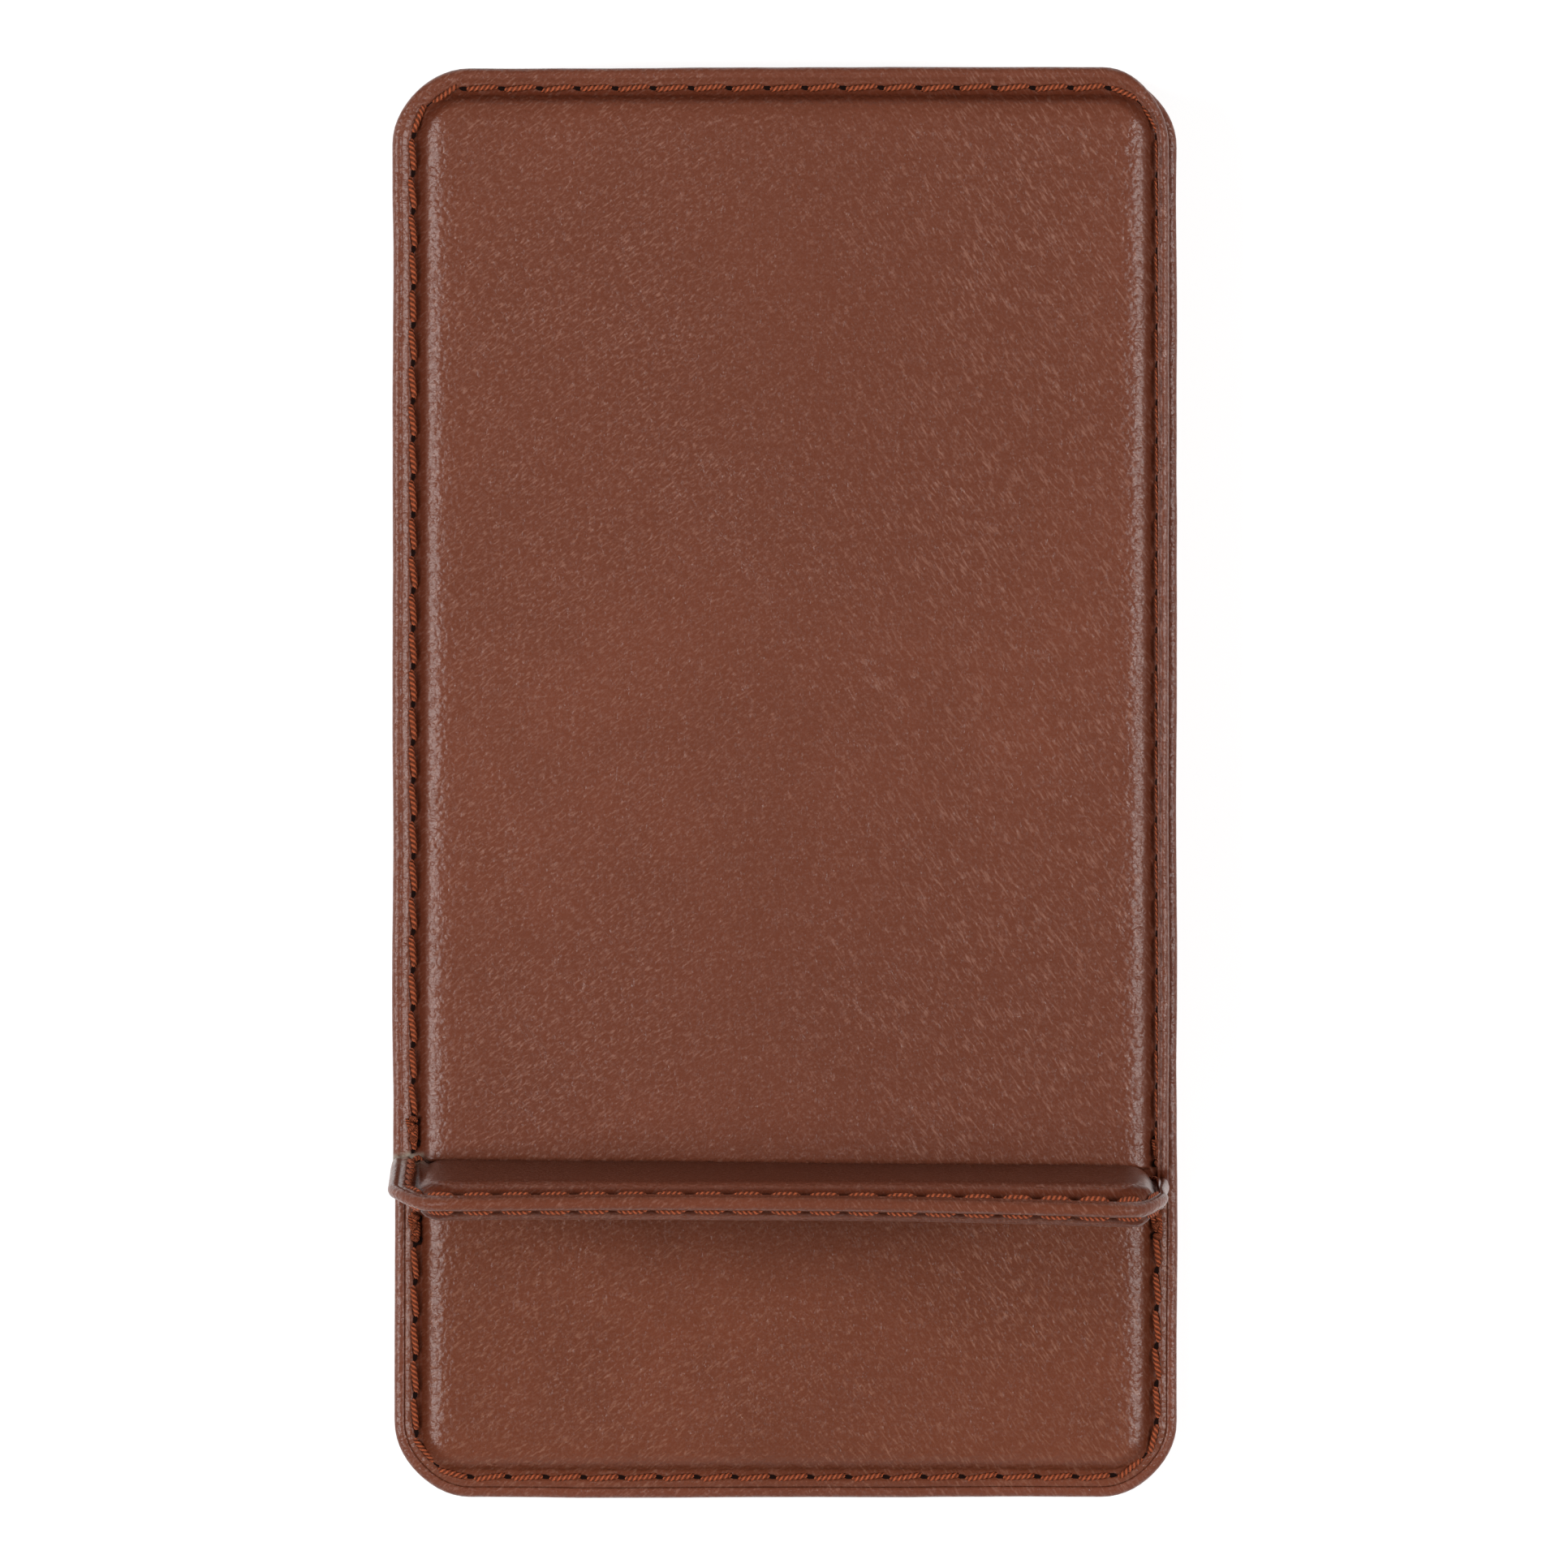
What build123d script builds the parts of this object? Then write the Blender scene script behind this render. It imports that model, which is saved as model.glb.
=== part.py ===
from build123d import *
import os

os.makedirs("parts", exist_ok=True)

# ---------------------------------------------------------------- dimensions, mm
# +Y runs to the closed end of the card pocket, -Y to the flap, +Z out of the front cover.

# covers
case_width = 62.0
case_length = 113.0
corner_radius = 6.0
leather = 0.6            # skins and linings
border_thickness = 1.2   # sewn border, two leathers thick
raise_height = 1.0       # padded area above the border, on either face
border_width = 2.3       # edge to the foot of the padded area
shoulder_radius = 0.9    # rounding along the padded area of a skin
lining_bevel = 0.6       # easing along the padded area of a lining
turn_in = 0.8            # skin folded back over the edge
edge_bevel = 0.35        # easing of the folded edge
padding_thickness = 0.8  # foam under the outer skin
front_trim = 0.8         # the front cover stops short of the back on its right side

# pocket
pocket_gap = 5.0         # between the two linings
gusset_leather = 0.35
gusset_inset = 1.9       # edge to the outside of the gusset wall
flange_inset = 1.0       # edge to the rim of the gusset flanges
mouth_setback = 0.8      # gusset ends this far inside the hinge

# hinge
flap_length = 25.1       # hinge line to the flap's free edge
open_angle = 87.4        # flap raised from closed, as modelled
fold_clearance = 0.05    # round the rolled fold
fold_relief = 0.7        # flap skin cut back so that it can stand up
fold_gap = 1.75          # hinge line to the foot of either padded area
lining_gap = 0.9         # hinge line to either lining
fold_corner = 1.2        # corners of the padded areas at the hinge

# sewing
seam_inset = 1.6
stitch_pitch = 3.0
stitch_length = 2.3
thread_width = 0.5
thread_height = 0.4
seam_start = 1.2         # hinge line to the first stitch

# magnets
magnet_radius = 4.0
magnet_thickness = 1.0
magnet_clearance = 0.1
magnet_spacing = 32.0
magnet_setback = 8.6     # flap's free edge to the magnets

# ---------------------------------------------------------------- derived
half_width = case_width / 2
half_length = case_length / 2
half_border = border_thickness / 2
cover_thickness = border_thickness + 2 * raise_height
board_thickness = cover_thickness - 2 * leather - padding_thickness
hinge_y = flap_length - half_length
back_middle = cover_thickness / 2
front_middle = back_middle + cover_thickness + pocket_gap
core_half = cover_thickness / 2 - leather
core_inset = border_width + leather
mouth_y = hinge_y + mouth_setback
magnet_reach = flap_length - magnet_setback

back_plane = Plane.XY.offset(back_middle)
front_plane = Plane.XY.offset(front_middle)
flap_plane = Plane(Location((0, hinge_y, front_middle), (-open_angle, 0, 0)))
fold_plane = Plane(origin=(-front_trim / 2, hinge_y, front_middle), x_dir=(0, 1, 0), z_dir=(1, 0, 0))


# ---------------------------------------------------------------- outlines
def panel(low, high, inset, trim, low_radius, high_radius):
    """Panel across the case between two heights, with a corner radius at either end."""
    left = inset - half_width
    right = half_width - trim - inset
    with Locations(((left + right) / 2, (low + high) / 2)):
        Rectangle(right - left, high - low)
    if low_radius > 0:
        fillet(vertices().group_by(Axis.Y)[0], low_radius)
    if high_radius > 0:
        fillet(vertices().group_by(Axis.Y)[-1], high_radius)


def back_panel(inset, gap=0.0, trim=0.0, fold_radius=0.0):
    panel(inset - half_length, half_length - inset, inset, 0.0, corner_radius - inset, corner_radius - inset)


def front_panel(inset, gap=0.0, trim=0.0, fold_radius=0.0):
    panel(hinge_y + gap, half_length - inset, inset, trim, fold_radius, corner_radius - inset)


def flap_panel(inset, gap=0.0, trim=0.0, fold_radius=0.0):
    panel(inset - flap_length, -gap, inset, trim, corner_radius - inset, fold_radius)


# ---------------------------------------------------------------- cover layers
# side is +1 where the cover's outside is the plane's +Z side, -1 where it is the other.
def far_edges(plane, side):
    return faces().sort_by(Axis(plane.origin, plane.z_dir * side))[-1].edges()


def rounded_sheet(plane, outline, gap, trim):
    """Border sheet, eased along every free edge."""
    with BuildSketch(plane.offset(-half_border)) as sheet:
        outline(0.0, gap, trim)
    extrude(sheet.sketch, amount=border_thickness)
    rim = edges().filter_by(lambda edge: abs(edge.tangent_at(0.5).dot(plane.z_dir)) < 0.5)
    fold_edges = [] if outline is back_panel else fold_end(rim, plane, outline)
    chamfer([edge for edge in rim if edge not in fold_edges], edge_bevel)


def fold_end(rim, plane, outline):
    """The edges of the sheet that lie along the hinge."""
    along = rim.sort_by(Axis(plane.origin, plane.y_dir))
    return along[:2] if outline is front_panel else along[-2:]


def raised_area(plane, side, outline, ease, size):
    """Padded area on one face of the border sheet, with its shoulder filleted or chamfered."""
    with BuildSketch(plane.offset(side * half_border)) as area:
        outline(border_width, fold_gap, 0.0, fold_corner)
    extrude(area.sketch, amount=side * raise_height)
    ease(far_edges(plane, side), size)


def core_pocket(plane, side, outline):
    """Room for half of the core under one padded area."""
    with BuildSketch(plane) as core:
        outline(core_inset, fold_gap + leather)
    extrude(core.sketch, amount=side * core_half, mode=Mode.SUBTRACT)


def outer_skin(plane, side, outline, gap, trim):
    rounded_sheet(plane, outline, gap, trim)
    raised_area(plane, side, outline, fillet, shoulder_radius)
    with BuildSketch(plane) as seat:
        outline(turn_in, lining_gap, trim)
    extrude(seat.sketch, amount=-side * half_border, mode=Mode.SUBTRACT)
    core_pocket(plane, side, outline)


def inner_lining(plane, side, outline, trim):
    with BuildSketch(plane) as sheet:
        outline(turn_in, lining_gap, trim)
    extrude(sheet.sketch, amount=-side * half_border)
    raised_area(plane, -side, outline, chamfer, lining_bevel)
    core_pocket(plane, -side, outline)


def core_layer(plane, side, outline, height, thickness):
    """Layer of the core whose inner face is at a height on the cover's outer side."""
    with BuildSketch(plane.offset(side * height)) as layer:
        outline(core_inset, fold_gap + leather)
    extrude(layer.sketch, amount=side * thickness)


def magnet_discs(plane, side, y, radius, mode):
    """Two discs let into the board from the lining side."""
    with BuildSketch(plane.offset(-side * core_half)) as discs:
        with Locations((-magnet_spacing / 2, y), (magnet_spacing / 2, y)):
            Circle(radius)
    extrude(discs.sketch, amount=side * magnet_thickness, mode=mode)


padding_height = core_half - padding_thickness

# ---------------------------------------------------------------- back cover
with BuildPart() as back_leather:
    outer_skin(back_plane, -1, back_panel, 0.0, 0.0)

with BuildPart() as back_lining:
    inner_lining(back_plane, -1, back_panel, 0.0)

with BuildPart() as back_padding:
    core_layer(back_plane, -1, back_panel, padding_height, padding_thickness)

back_magnet_y = hinge_y - magnet_reach
with BuildPart() as back_board:
    core_layer(back_plane, -1, back_panel, -core_half, board_thickness)
    magnet_discs(back_plane, -1, back_magnet_y, magnet_radius + magnet_clearance, Mode.SUBTRACT)

with BuildPart() as back_magnets:
    magnet_discs(back_plane, -1, back_magnet_y, magnet_radius, Mode.ADD)

# ---------------------------------------------------------------- front cover
with BuildPart() as front_leather:
    outer_skin(front_plane, 1, front_panel, 0.0, front_trim)
    with BuildSketch(fold_plane):
        Circle(half_border)
    extrude(amount=half_width - front_trim / 2 - edge_bevel, both=True)

with BuildPart() as front_lining:
    inner_lining(front_plane, 1, front_panel, front_trim)

with BuildPart() as front_padding:
    core_layer(front_plane, 1, front_panel, padding_height, padding_thickness)

with BuildPart() as front_board:
    core_layer(front_plane, 1, front_panel, -core_half, board_thickness)

# ---------------------------------------------------------------- flap
with BuildPart() as flap_leather:
    outer_skin(flap_plane, 1, flap_panel, 0.0, front_trim)
    with BuildSketch(fold_plane):
        Circle(half_border + fold_clearance)
    extrude(amount=half_width, both=True, mode=Mode.SUBTRACT)
    with BuildSketch(flap_plane):
        Rectangle(2 * case_width, 2 * fold_relief)
    extrude(amount=border_thickness, mode=Mode.SUBTRACT)

with BuildPart() as flap_lining:
    inner_lining(flap_plane, 1, flap_panel, front_trim)

with BuildPart() as flap_padding:
    core_layer(flap_plane, 1, flap_panel, padding_height, padding_thickness)

with BuildPart() as flap_board:
    core_layer(flap_plane, 1, flap_panel, -core_half, board_thickness)
    magnet_discs(flap_plane, 1, -magnet_reach, magnet_radius + magnet_clearance, Mode.SUBTRACT)

with BuildPart() as flap_magnets:
    magnet_discs(flap_plane, 1, -magnet_reach, magnet_radius, Mode.ADD)


# ---------------------------------------------------------------- gusset
def gusset_ribbon(height, outer_inset, thickness):
    """Ribbon round the three closed sides, from an inset to the inside of the wall."""
    inner_inset = gusset_inset + gusset_leather
    middle = (outer_inset + inner_inset) / 2
    side_x = half_width - middle
    end_y = half_length - middle
    with BuildSketch(Plane.XY.offset(height)) as ribbon:
        with BuildLine():
            FilletPolyline(
                (-side_x, mouth_y),
                (-side_x, end_y),
                (side_x, end_y),
                (side_x, mouth_y),
                radius=corner_radius - middle,
            )
        trace(line_width=inner_inset - outer_inset)
    extrude(ribbon.sketch, amount=thickness)


gusset_floor = back_middle + half_border
gusset_roof = front_middle - half_border

with BuildPart() as gusset:
    gusset_ribbon(gusset_floor, gusset_inset, gusset_roof - gusset_floor)
    gusset_ribbon(gusset_floor, flange_inset, gusset_leather)
    gusset_ribbon(gusset_roof - gusset_leather, flange_inset, gusset_leather)


# ---------------------------------------------------------------- seams
def seam_spots(path, count):
    """Evenly spaced stitch places along a path, each turned along it."""
    spots = []
    for index in range(count):
        along = (index + 0.5) / count
        point = path.position_at(along)
        spots.append(Location((point.X, point.Y, 0), (0, 0, path.tangent_angle_at(along))))
    return spots


def sew(plane, height, direction, spots):
    """Stitches lying on a face at a height above the plane."""
    with BuildSketch(plane.offset(height)) as threads:
        with Locations(*spots):
            Rectangle(stitch_length, thread_width)
    extrude(threads.sketch, amount=direction * thread_height)


def open_seam(near_y, far_y):
    """Seam down both sides and round one end."""
    side_x = half_width - seam_inset
    with BuildLine() as line:
        FilletPolyline(
            (-side_x, near_y),
            (-side_x, far_y),
            (side_x, far_y),
            (side_x, near_y),
            radius=corner_radius - seam_inset,
        )
    return seam_spots(line.wire(), round(line.wire().length / stitch_pitch))


with BuildSketch() as back_seam_outline:
    RectangleRounded(case_width - 2 * seam_inset, case_length - 2 * seam_inset, corner_radius - seam_inset)
back_seam_path = back_seam_outline.face().outer_wire()
back_spots = seam_spots(back_seam_path, round(back_seam_path.length / stitch_pitch))
bare_spots = [spot for spot in back_spots if spot.position.Y < mouth_y - stitch_length / 2]
front_spots = open_seam(hinge_y + seam_start, half_length - seam_inset)
flap_spots = open_seam(-seam_start, seam_inset - flap_length)

with BuildPart() as back_seam:
    sew(back_plane, -half_border, -1, back_spots)
    sew(back_plane, half_border, 1, bare_spots)

with BuildPart() as front_seam:
    sew(front_plane, half_border, 1, front_spots)

with BuildPart() as flap_seam:
    sew(flap_plane, half_border, 1, flap_spots)
    sew(flap_plane, -half_border, -1, flap_spots)

# ---------------------------------------------------------------- export
back_leather.part.label = "back_leather"
export_step(back_leather.part, "parts/back_leather.step")
back_lining.part.label = "back_lining"
export_step(back_lining.part, "parts/back_lining.step")
back_padding.part.label = "back_padding"
export_step(back_padding.part, "parts/back_padding.step")
back_board.part.label = "back_board"
export_step(back_board.part, "parts/back_board.step")
back_magnets.part.label = "back_magnets"
export_step(back_magnets.part, "parts/back_magnets.step")
back_seam.part.label = "back_seam"
export_step(back_seam.part, "parts/back_seam.step")
gusset.part.label = "gusset"
export_step(gusset.part, "parts/gusset.step")
front_leather.part.label = "front_leather"
export_step(front_leather.part, "parts/front_leather.step")
front_lining.part.label = "front_lining"
export_step(front_lining.part, "parts/front_lining.step")
front_padding.part.label = "front_padding"
export_step(front_padding.part, "parts/front_padding.step")
front_board.part.label = "front_board"
export_step(front_board.part, "parts/front_board.step")
front_seam.part.label = "front_seam"
export_step(front_seam.part, "parts/front_seam.step")
flap_leather.part.label = "flap_leather"
export_step(flap_leather.part, "parts/flap_leather.step")
flap_lining.part.label = "flap_lining"
export_step(flap_lining.part, "parts/flap_lining.step")
flap_padding.part.label = "flap_padding"
export_step(flap_padding.part, "parts/flap_padding.step")
flap_board.part.label = "flap_board"
export_step(flap_board.part, "parts/flap_board.step")
flap_magnets.part.label = "flap_magnets"
export_step(flap_magnets.part, "parts/flap_magnets.step")
flap_seam.part.label = "flap_seam"
export_step(flap_seam.part, "parts/flap_seam.step")
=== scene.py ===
import math

import bmesh
import bpy
from mathutils import Matrix, Vector, noise
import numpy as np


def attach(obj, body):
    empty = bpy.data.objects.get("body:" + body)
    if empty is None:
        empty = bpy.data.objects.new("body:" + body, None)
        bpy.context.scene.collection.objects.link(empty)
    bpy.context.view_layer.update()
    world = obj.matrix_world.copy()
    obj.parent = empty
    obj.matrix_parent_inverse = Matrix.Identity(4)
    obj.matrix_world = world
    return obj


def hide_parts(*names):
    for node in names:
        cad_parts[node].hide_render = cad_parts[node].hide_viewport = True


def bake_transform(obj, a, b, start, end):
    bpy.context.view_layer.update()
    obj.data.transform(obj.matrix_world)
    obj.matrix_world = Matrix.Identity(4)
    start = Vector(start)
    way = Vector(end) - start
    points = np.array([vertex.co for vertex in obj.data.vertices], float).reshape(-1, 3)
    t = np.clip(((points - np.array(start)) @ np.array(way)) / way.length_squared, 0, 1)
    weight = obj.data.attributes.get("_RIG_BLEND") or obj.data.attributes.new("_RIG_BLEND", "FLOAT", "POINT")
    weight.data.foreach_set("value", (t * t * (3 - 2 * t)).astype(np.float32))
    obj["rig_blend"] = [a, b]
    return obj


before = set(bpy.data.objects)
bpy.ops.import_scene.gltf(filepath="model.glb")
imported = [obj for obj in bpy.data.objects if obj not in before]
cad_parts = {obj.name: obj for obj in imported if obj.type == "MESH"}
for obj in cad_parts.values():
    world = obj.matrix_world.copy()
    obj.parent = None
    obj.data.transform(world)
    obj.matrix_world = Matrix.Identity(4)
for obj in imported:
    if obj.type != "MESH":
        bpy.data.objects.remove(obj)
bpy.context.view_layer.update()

# ---------------------------------------------------------------- sizes, mm
MM = 0.001
CASE_LEFT, CASE_RIGHT = -31.0, 31.0
CASE_LOW, CASE_HIGH = -56.5, 56.5
FRONT_TRIM = 0.8            # the front cover stops short of the back on its right side
TRIM_FROM, TRIM_TO = 0.6, 1.9        # depths between which that is taken up
CORNER = 6.0
PAD_CORNER = 2.3            # corners of the padded areas
FOLD_CORNER = 1.3           # and where they meet the hinge
CORNER_STEPS = 14
CORNER_FLAT = 0.15          # the turned corners lie this far inside a true arc
BACK_MIDDLE, FRONT_MIDDLE = 1.6, 9.8
HINGE_Y = -31.4
OPEN = math.radians(87.4)   # flap raised from closed
BEND_START, BEND_END = -0.05, 0.50   # along the fold's bisector, from the hinge line
RAISE_INSET = 2.15          # cover's edge to the foot of the padded area
RAISE_HEIGHT = 1.17
FRONT_GAP, FLAP_GAP = 1.05, 1.45     # hinge line to the foot of either padded area
HINGE_SLANT = -0.0090       # the fold runs a little askew across the case,
HINGE_SHIFT = 0.17          # and sits this much up the case
TIP_MIDDLE, TIP_BOW = -10.8, 0.00043 # the free edge bows away from it, most on the right
TIP_CURLS = [(-28.2, 0.55), (27.4, 0.85)]   # and its corners curl forward: from x, how far
BORDER_BOW = 1.35           # the flap's left border stands this far forward near the fold
FLAP_TRIM = 0.45            # how much shorter again the flap is on the right
FLAP_TALL = 25.0            # height of the flap's free edge over the hinge
SLANT_FROM, SLANT_OVER = 2.5, 11.0   # up the case, where the slant fades, and over what length
SEAM_INSET = 1.6
PITCH = 3.0
GRID = 0.7

# Edge of an outer skin: how far in from the pattern's zero line, then where that
# point ends up, inset from the cover's edge and height over the cover's middle.
TURNED_EDGE = [
    (-1.32, 0.80, -0.34),
    (-1.16, 0.79, -0.46),
    (-1.02, 0.66, -0.52),
    (-0.82, 0.44, -0.52),
    (-0.60, 0.22, -0.44),
    (-0.40, 0.08, -0.29),
    (-0.20, 0.01, -0.12),
    (0.00, 0.00, 0.06),
    (0.07, 0.07, 0.26),
    (0.20, 0.20, 0.42),
    (0.38, 0.38, 0.515),
    (0.54, 0.54, 0.525),
    (0.66, 0.66, 0.49),
    (0.74, 0.74, 0.465),
    (0.84, 0.84, 0.485),
]
CUT_EDGE = [
    (0.80, 0.80, 0.32),
    (0.82, 0.82, 0.44),
    (0.90, 0.90, 0.53),
]
SEWN_BORDER = [
    (1.02, 1.02, 0.56),
    (1.20, 1.20, 0.63),
    (1.32, 1.32, 0.63),
    (1.42, 1.42, 0.57),
    (1.52, 1.52, 0.48),
    (1.64, 1.64, 0.44),
    (1.80, 1.80, 0.43),
    (1.94, 1.94, 0.40),
    (2.05, 2.05, 0.39),
    (2.15, 2.15, 0.43),
]
# Padded area: how far in from its foot, and how much of the rise is reached there.
SHOULDER = [
    (0.00, 0.000),
    (0.10, 0.103),
    (0.25, 0.256),
    (0.40, 0.389),
    (0.54, 0.500),
    (0.67, 0.590),
    (0.80, 0.667),
    (0.95, 0.732),
    (1.15, 0.803),
    (1.40, 0.872),
    (1.75, 0.933),
    (2.40, 0.982),
    (3.00, 1.000),
]
# How much painted shade the seam's furrow and the foot of the padding get, by depth from the edge.
FURROW_SHADE = [
    (1.25, 0.0),
    (1.42, 0.5),
    (1.75, 0.6),
    (1.95, 1.0),
    (2.15, 1.0),
    (2.55, 0.8),
    (2.75, 0.35),
    (2.90, 0.0),
]
FACE_SHADE = 0.62           # how far the flap's padded face is darkened by painted shade


# ---------------------------------------------------------------- small helpers
def smooth(t):
    t = min(1.0, max(0.0, t))
    return t * t * (3 - 2 * t)


def read_table(table, at):
    """The table's columns after the first, read at a place along the first."""
    if at <= table[0][0]:
        return table[0][1:]
    for low, high in zip(table, table[1:]):
        if at <= high[0]:
            share = (at - low[0]) / (high[0] - low[0])
            return [a + (b - a) * share for a, b in zip(low[1:], high[1:])]
    return table[-1][1:]


def depth_in(x, y, box, low_radius, high_radius):
    """How far a point lies inside a rounded rectangle, and the way out of it."""
    left, right, low, high = box
    middle_x, middle_y = (left + right) / 2, (low + high) / 2
    radius = low_radius if y < middle_y else high_radius
    away_x, away_y = x - middle_x, y - middle_y
    past_x = abs(away_x) - ((right - left) / 2 - radius)
    past_y = abs(away_y) - ((high - low) / 2 - radius)
    sign_x, sign_y = math.copysign(1, away_x), math.copysign(1, away_y)
    if past_x > 0 and past_y > 0:
        reach = math.hypot(past_x, past_y)
        return radius - reach, sign_x * past_x / reach, sign_y * past_y / reach
    if past_x > past_y:
        return radius - past_x, sign_x, 0.0
    return radius - past_y, 0.0, sign_y


def ripple(x, y, size, seed):
    return noise.noise(Vector((x / size, y / size, seed)))


def finish_piece(name, bm, material, thickness=0.0):
    """Turns a bmesh in mm into a smooth-shaded object in metres, with a wall if asked."""
    bmesh.ops.scale(bm, vec=(MM, MM, MM), verts=bm.verts)
    mesh = bpy.data.meshes.new(name)
    bm.to_mesh(mesh)
    bm.free()
    mesh.shade_smooth()
    piece = bpy.data.objects.new(name, mesh)
    bpy.context.scene.collection.objects.link(piece)
    mesh.materials.append(material)
    if thickness:
        wall = piece.modifiers.new("leather thickness", "SOLIDIFY")
        wall.thickness = thickness * MM
        wall.offset = -1.0
        wall.use_even_offset = False
    return piece


# ---------------------------------------------------------------- folding the flap up
# Where the border folds in a soft bend: from x outwards, and the bend's radius.
SOFT_FOLDS = [(-28.0, 2.4), (28.2, 0.9)]
SOFT_SIDE = 0.9             # the width over which the fold turns into that bend


def fold_share(along, height):
    """How much of the flap's turn a point of the flat front cover takes at rest."""
    if along > 3.0:
        return 0.0
    if along < -3.0:
        return 1.0
    outside = smooth((0.5 - along) / 1.0)
    if height <= 0.0:
        return outside
    low, high = 0.0, 1.0
    for _ in range(22):
        share = (low + high) / 2
        y, z = turned(along, height, share * OPEN)
        across = (z - y) / math.sqrt(2)
        if smooth((across - BEND_START) / (BEND_END - BEND_START)) > share:
            low = share
        else:
            high = share
    inside = (low + high) / 2
    mix = min(1.0, height / 0.25)
    return outside + (inside - outside) * mix


def turned(along, height, turn):
    """Place after turning about the hinge, as distances up the case and off it."""
    cosine, sine = math.cos(turn), math.sin(turn)
    return along * cosine + height * sine, height * cosine - along * sine


def soft_fold(along, height, radius):
    """Place of a point of a border that bends in an arc instead of folding."""
    reach = radius * math.tan(OPEN / 2)
    if abs(along) >= reach:
        return turned(along, height, OPEN if along < 0 else 0.0)
    turn = OPEN * (reach - along) / (2 * reach)
    return reach - (radius - height) * math.sin(turn), radius - (radius - height) * math.cos(turn)


def stand_up(x, y, height):
    """Place at rest of a point of the front cover and flap, given as they lie flat."""
    along = y - HINGE_Y
    rest_y, rest_z = turned(along, height, fold_share(along, height) * OPEN)
    for end, radius in SOFT_FOLDS:
        share = smooth((x * math.copysign(1, end) - abs(end)) / SOFT_SIDE)
        if share > 0:
            soft_y, soft_z = soft_fold(along, height, radius)
            rest_y += (soft_y - rest_y) * share
            rest_z += (soft_z - rest_z) * share
    near_fold = HINGE_SLANT * x + HINGE_SHIFT
    at_tip = 0.05 - TIP_BOW * (x - TIP_MIDDLE) ** 2
    for end, curl in TIP_CURLS:
        at_tip += curl * smooth((x * math.copysign(1, end) - abs(end)) / 3.0)
    up = smooth(rest_z / FLAP_TALL)
    at_tip *= 1 - 0.65 * smooth((height - 0.6) / 0.5)
    askew = near_fold * (1 - up) + at_tip * up
    askew *= 1 - smooth((rest_y - SLANT_FROM) / SLANT_OVER)
    bow = BORDER_BOW * smooth((-x - 28.0) / SOFT_SIDE)
    bow *= smooth(rest_z / 3.0) * max(0.0, 1 - rest_z / FLAP_TALL)
    return Vector((x, HINGE_Y + rest_y + askew + bow, FRONT_MIDDLE + rest_z))


def lie_flat(x, y, height):
    return Vector((x, y, BACK_MIDDLE + height))


# ---------------------------------------------------------------- covers
CASE_BOX = (CASE_LEFT, CASE_RIGHT, CASE_LOW, CASE_HIGH)
PAD_LEFT, PAD_RIGHT = CASE_LEFT + RAISE_INSET, CASE_RIGHT - RAISE_INSET
PAD_LOW, PAD_HIGH = CASE_LOW + RAISE_INSET, CASE_HIGH - RAISE_INSET
# A padded area: its outline, corner radii, and the side along the hinge if it has one
# (where, which way the padding lies, how much steeper its shoulder is there).
BACK = {
    "raised": [((PAD_LEFT, PAD_RIGHT, PAD_LOW, PAD_HIGH), PAD_CORNER, None)],
    "trim": 0.0,
    "place": lie_flat,
    "seed": 3.7,
}
FRONT = {
    "raised": [
        ((PAD_LEFT, PAD_RIGHT, HINGE_Y - 6.0, PAD_HIGH), PAD_CORNER, (HINGE_Y + FRONT_GAP, 1, 4.0)),
        ((PAD_LEFT, PAD_RIGHT, PAD_LOW, HINGE_Y + 6.0), PAD_CORNER, (HINGE_Y - FLAP_GAP, -1, 2.0)),
    ],
    "trim": FRONT_TRIM,
    "place": stand_up,
    "seed": 9.1,
}


def raised_share(cover, x, y):
    """How much of the padding's rise there is at a point."""
    best = 0.0
    for box, radius, hinge_side in cover["raised"]:
        depth = depth_in(x, y, box, radius, radius)[0]
        if hinge_side:
            line, way, steeper = hinge_side
            past = (y - line) * way * steeper
            if past < FOLD_CORNER and depth < FOLD_CORNER:
                depth = FOLD_CORNER - math.hypot(FOLD_CORNER - past, FOLD_CORNER - depth)
            else:
                depth = min(depth, past)
        if depth > 0:
            best = max(best, read_table(SHOULDER, depth)[0])
    return best


def trimmed(cover, x, y, depth, out_x):
    """Brings a right edge in by the cover's trim, and the border beside it by less."""
    share = min(1.0, max(0.0, (TRIM_TO - depth) / (TRIM_TO - TRIM_FROM)))
    trim = cover["trim"] and cover["trim"] + FLAP_TRIM * smooth((HINGE_Y - 3 - y) / 12)
    return x - trim * share * max(0.0, out_x)


def settle(cover, x, y, height, side):
    """Moves a flat point by the unevenness of hand-turned edges and soft padding."""
    depth, out_x, out_y = depth_in(x, y, CASE_BOX, CORNER, CORNER)
    edge = 1 - smooth(depth / 4.0)
    push = 0.10 * ripple(x, y, 13, cover["seed"]) + 0.03 * ripple(x, y, 4, cover["seed"] + 5)
    push -= CORNER_FLAT * (2 * out_x * out_y) ** 2
    rise = raised_share(cover, x, y)
    swell = 0.06 * ripple(x, y, 17, cover["seed"] + side) + 0.02 * ripple(x, y, 5, cover["seed"] + 2 * side)
    swell *= rise
    pinch = (1 - rise) * 0.015 * ripple(x, y, 1.6, cover["seed"] + 3 * side)
    lift = (swell + pinch) * (1 if depth > 0.5 else 0)
    return cover["place"](x + out_x * push * edge, y + out_y * push * edge, side * (height + lift))


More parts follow.
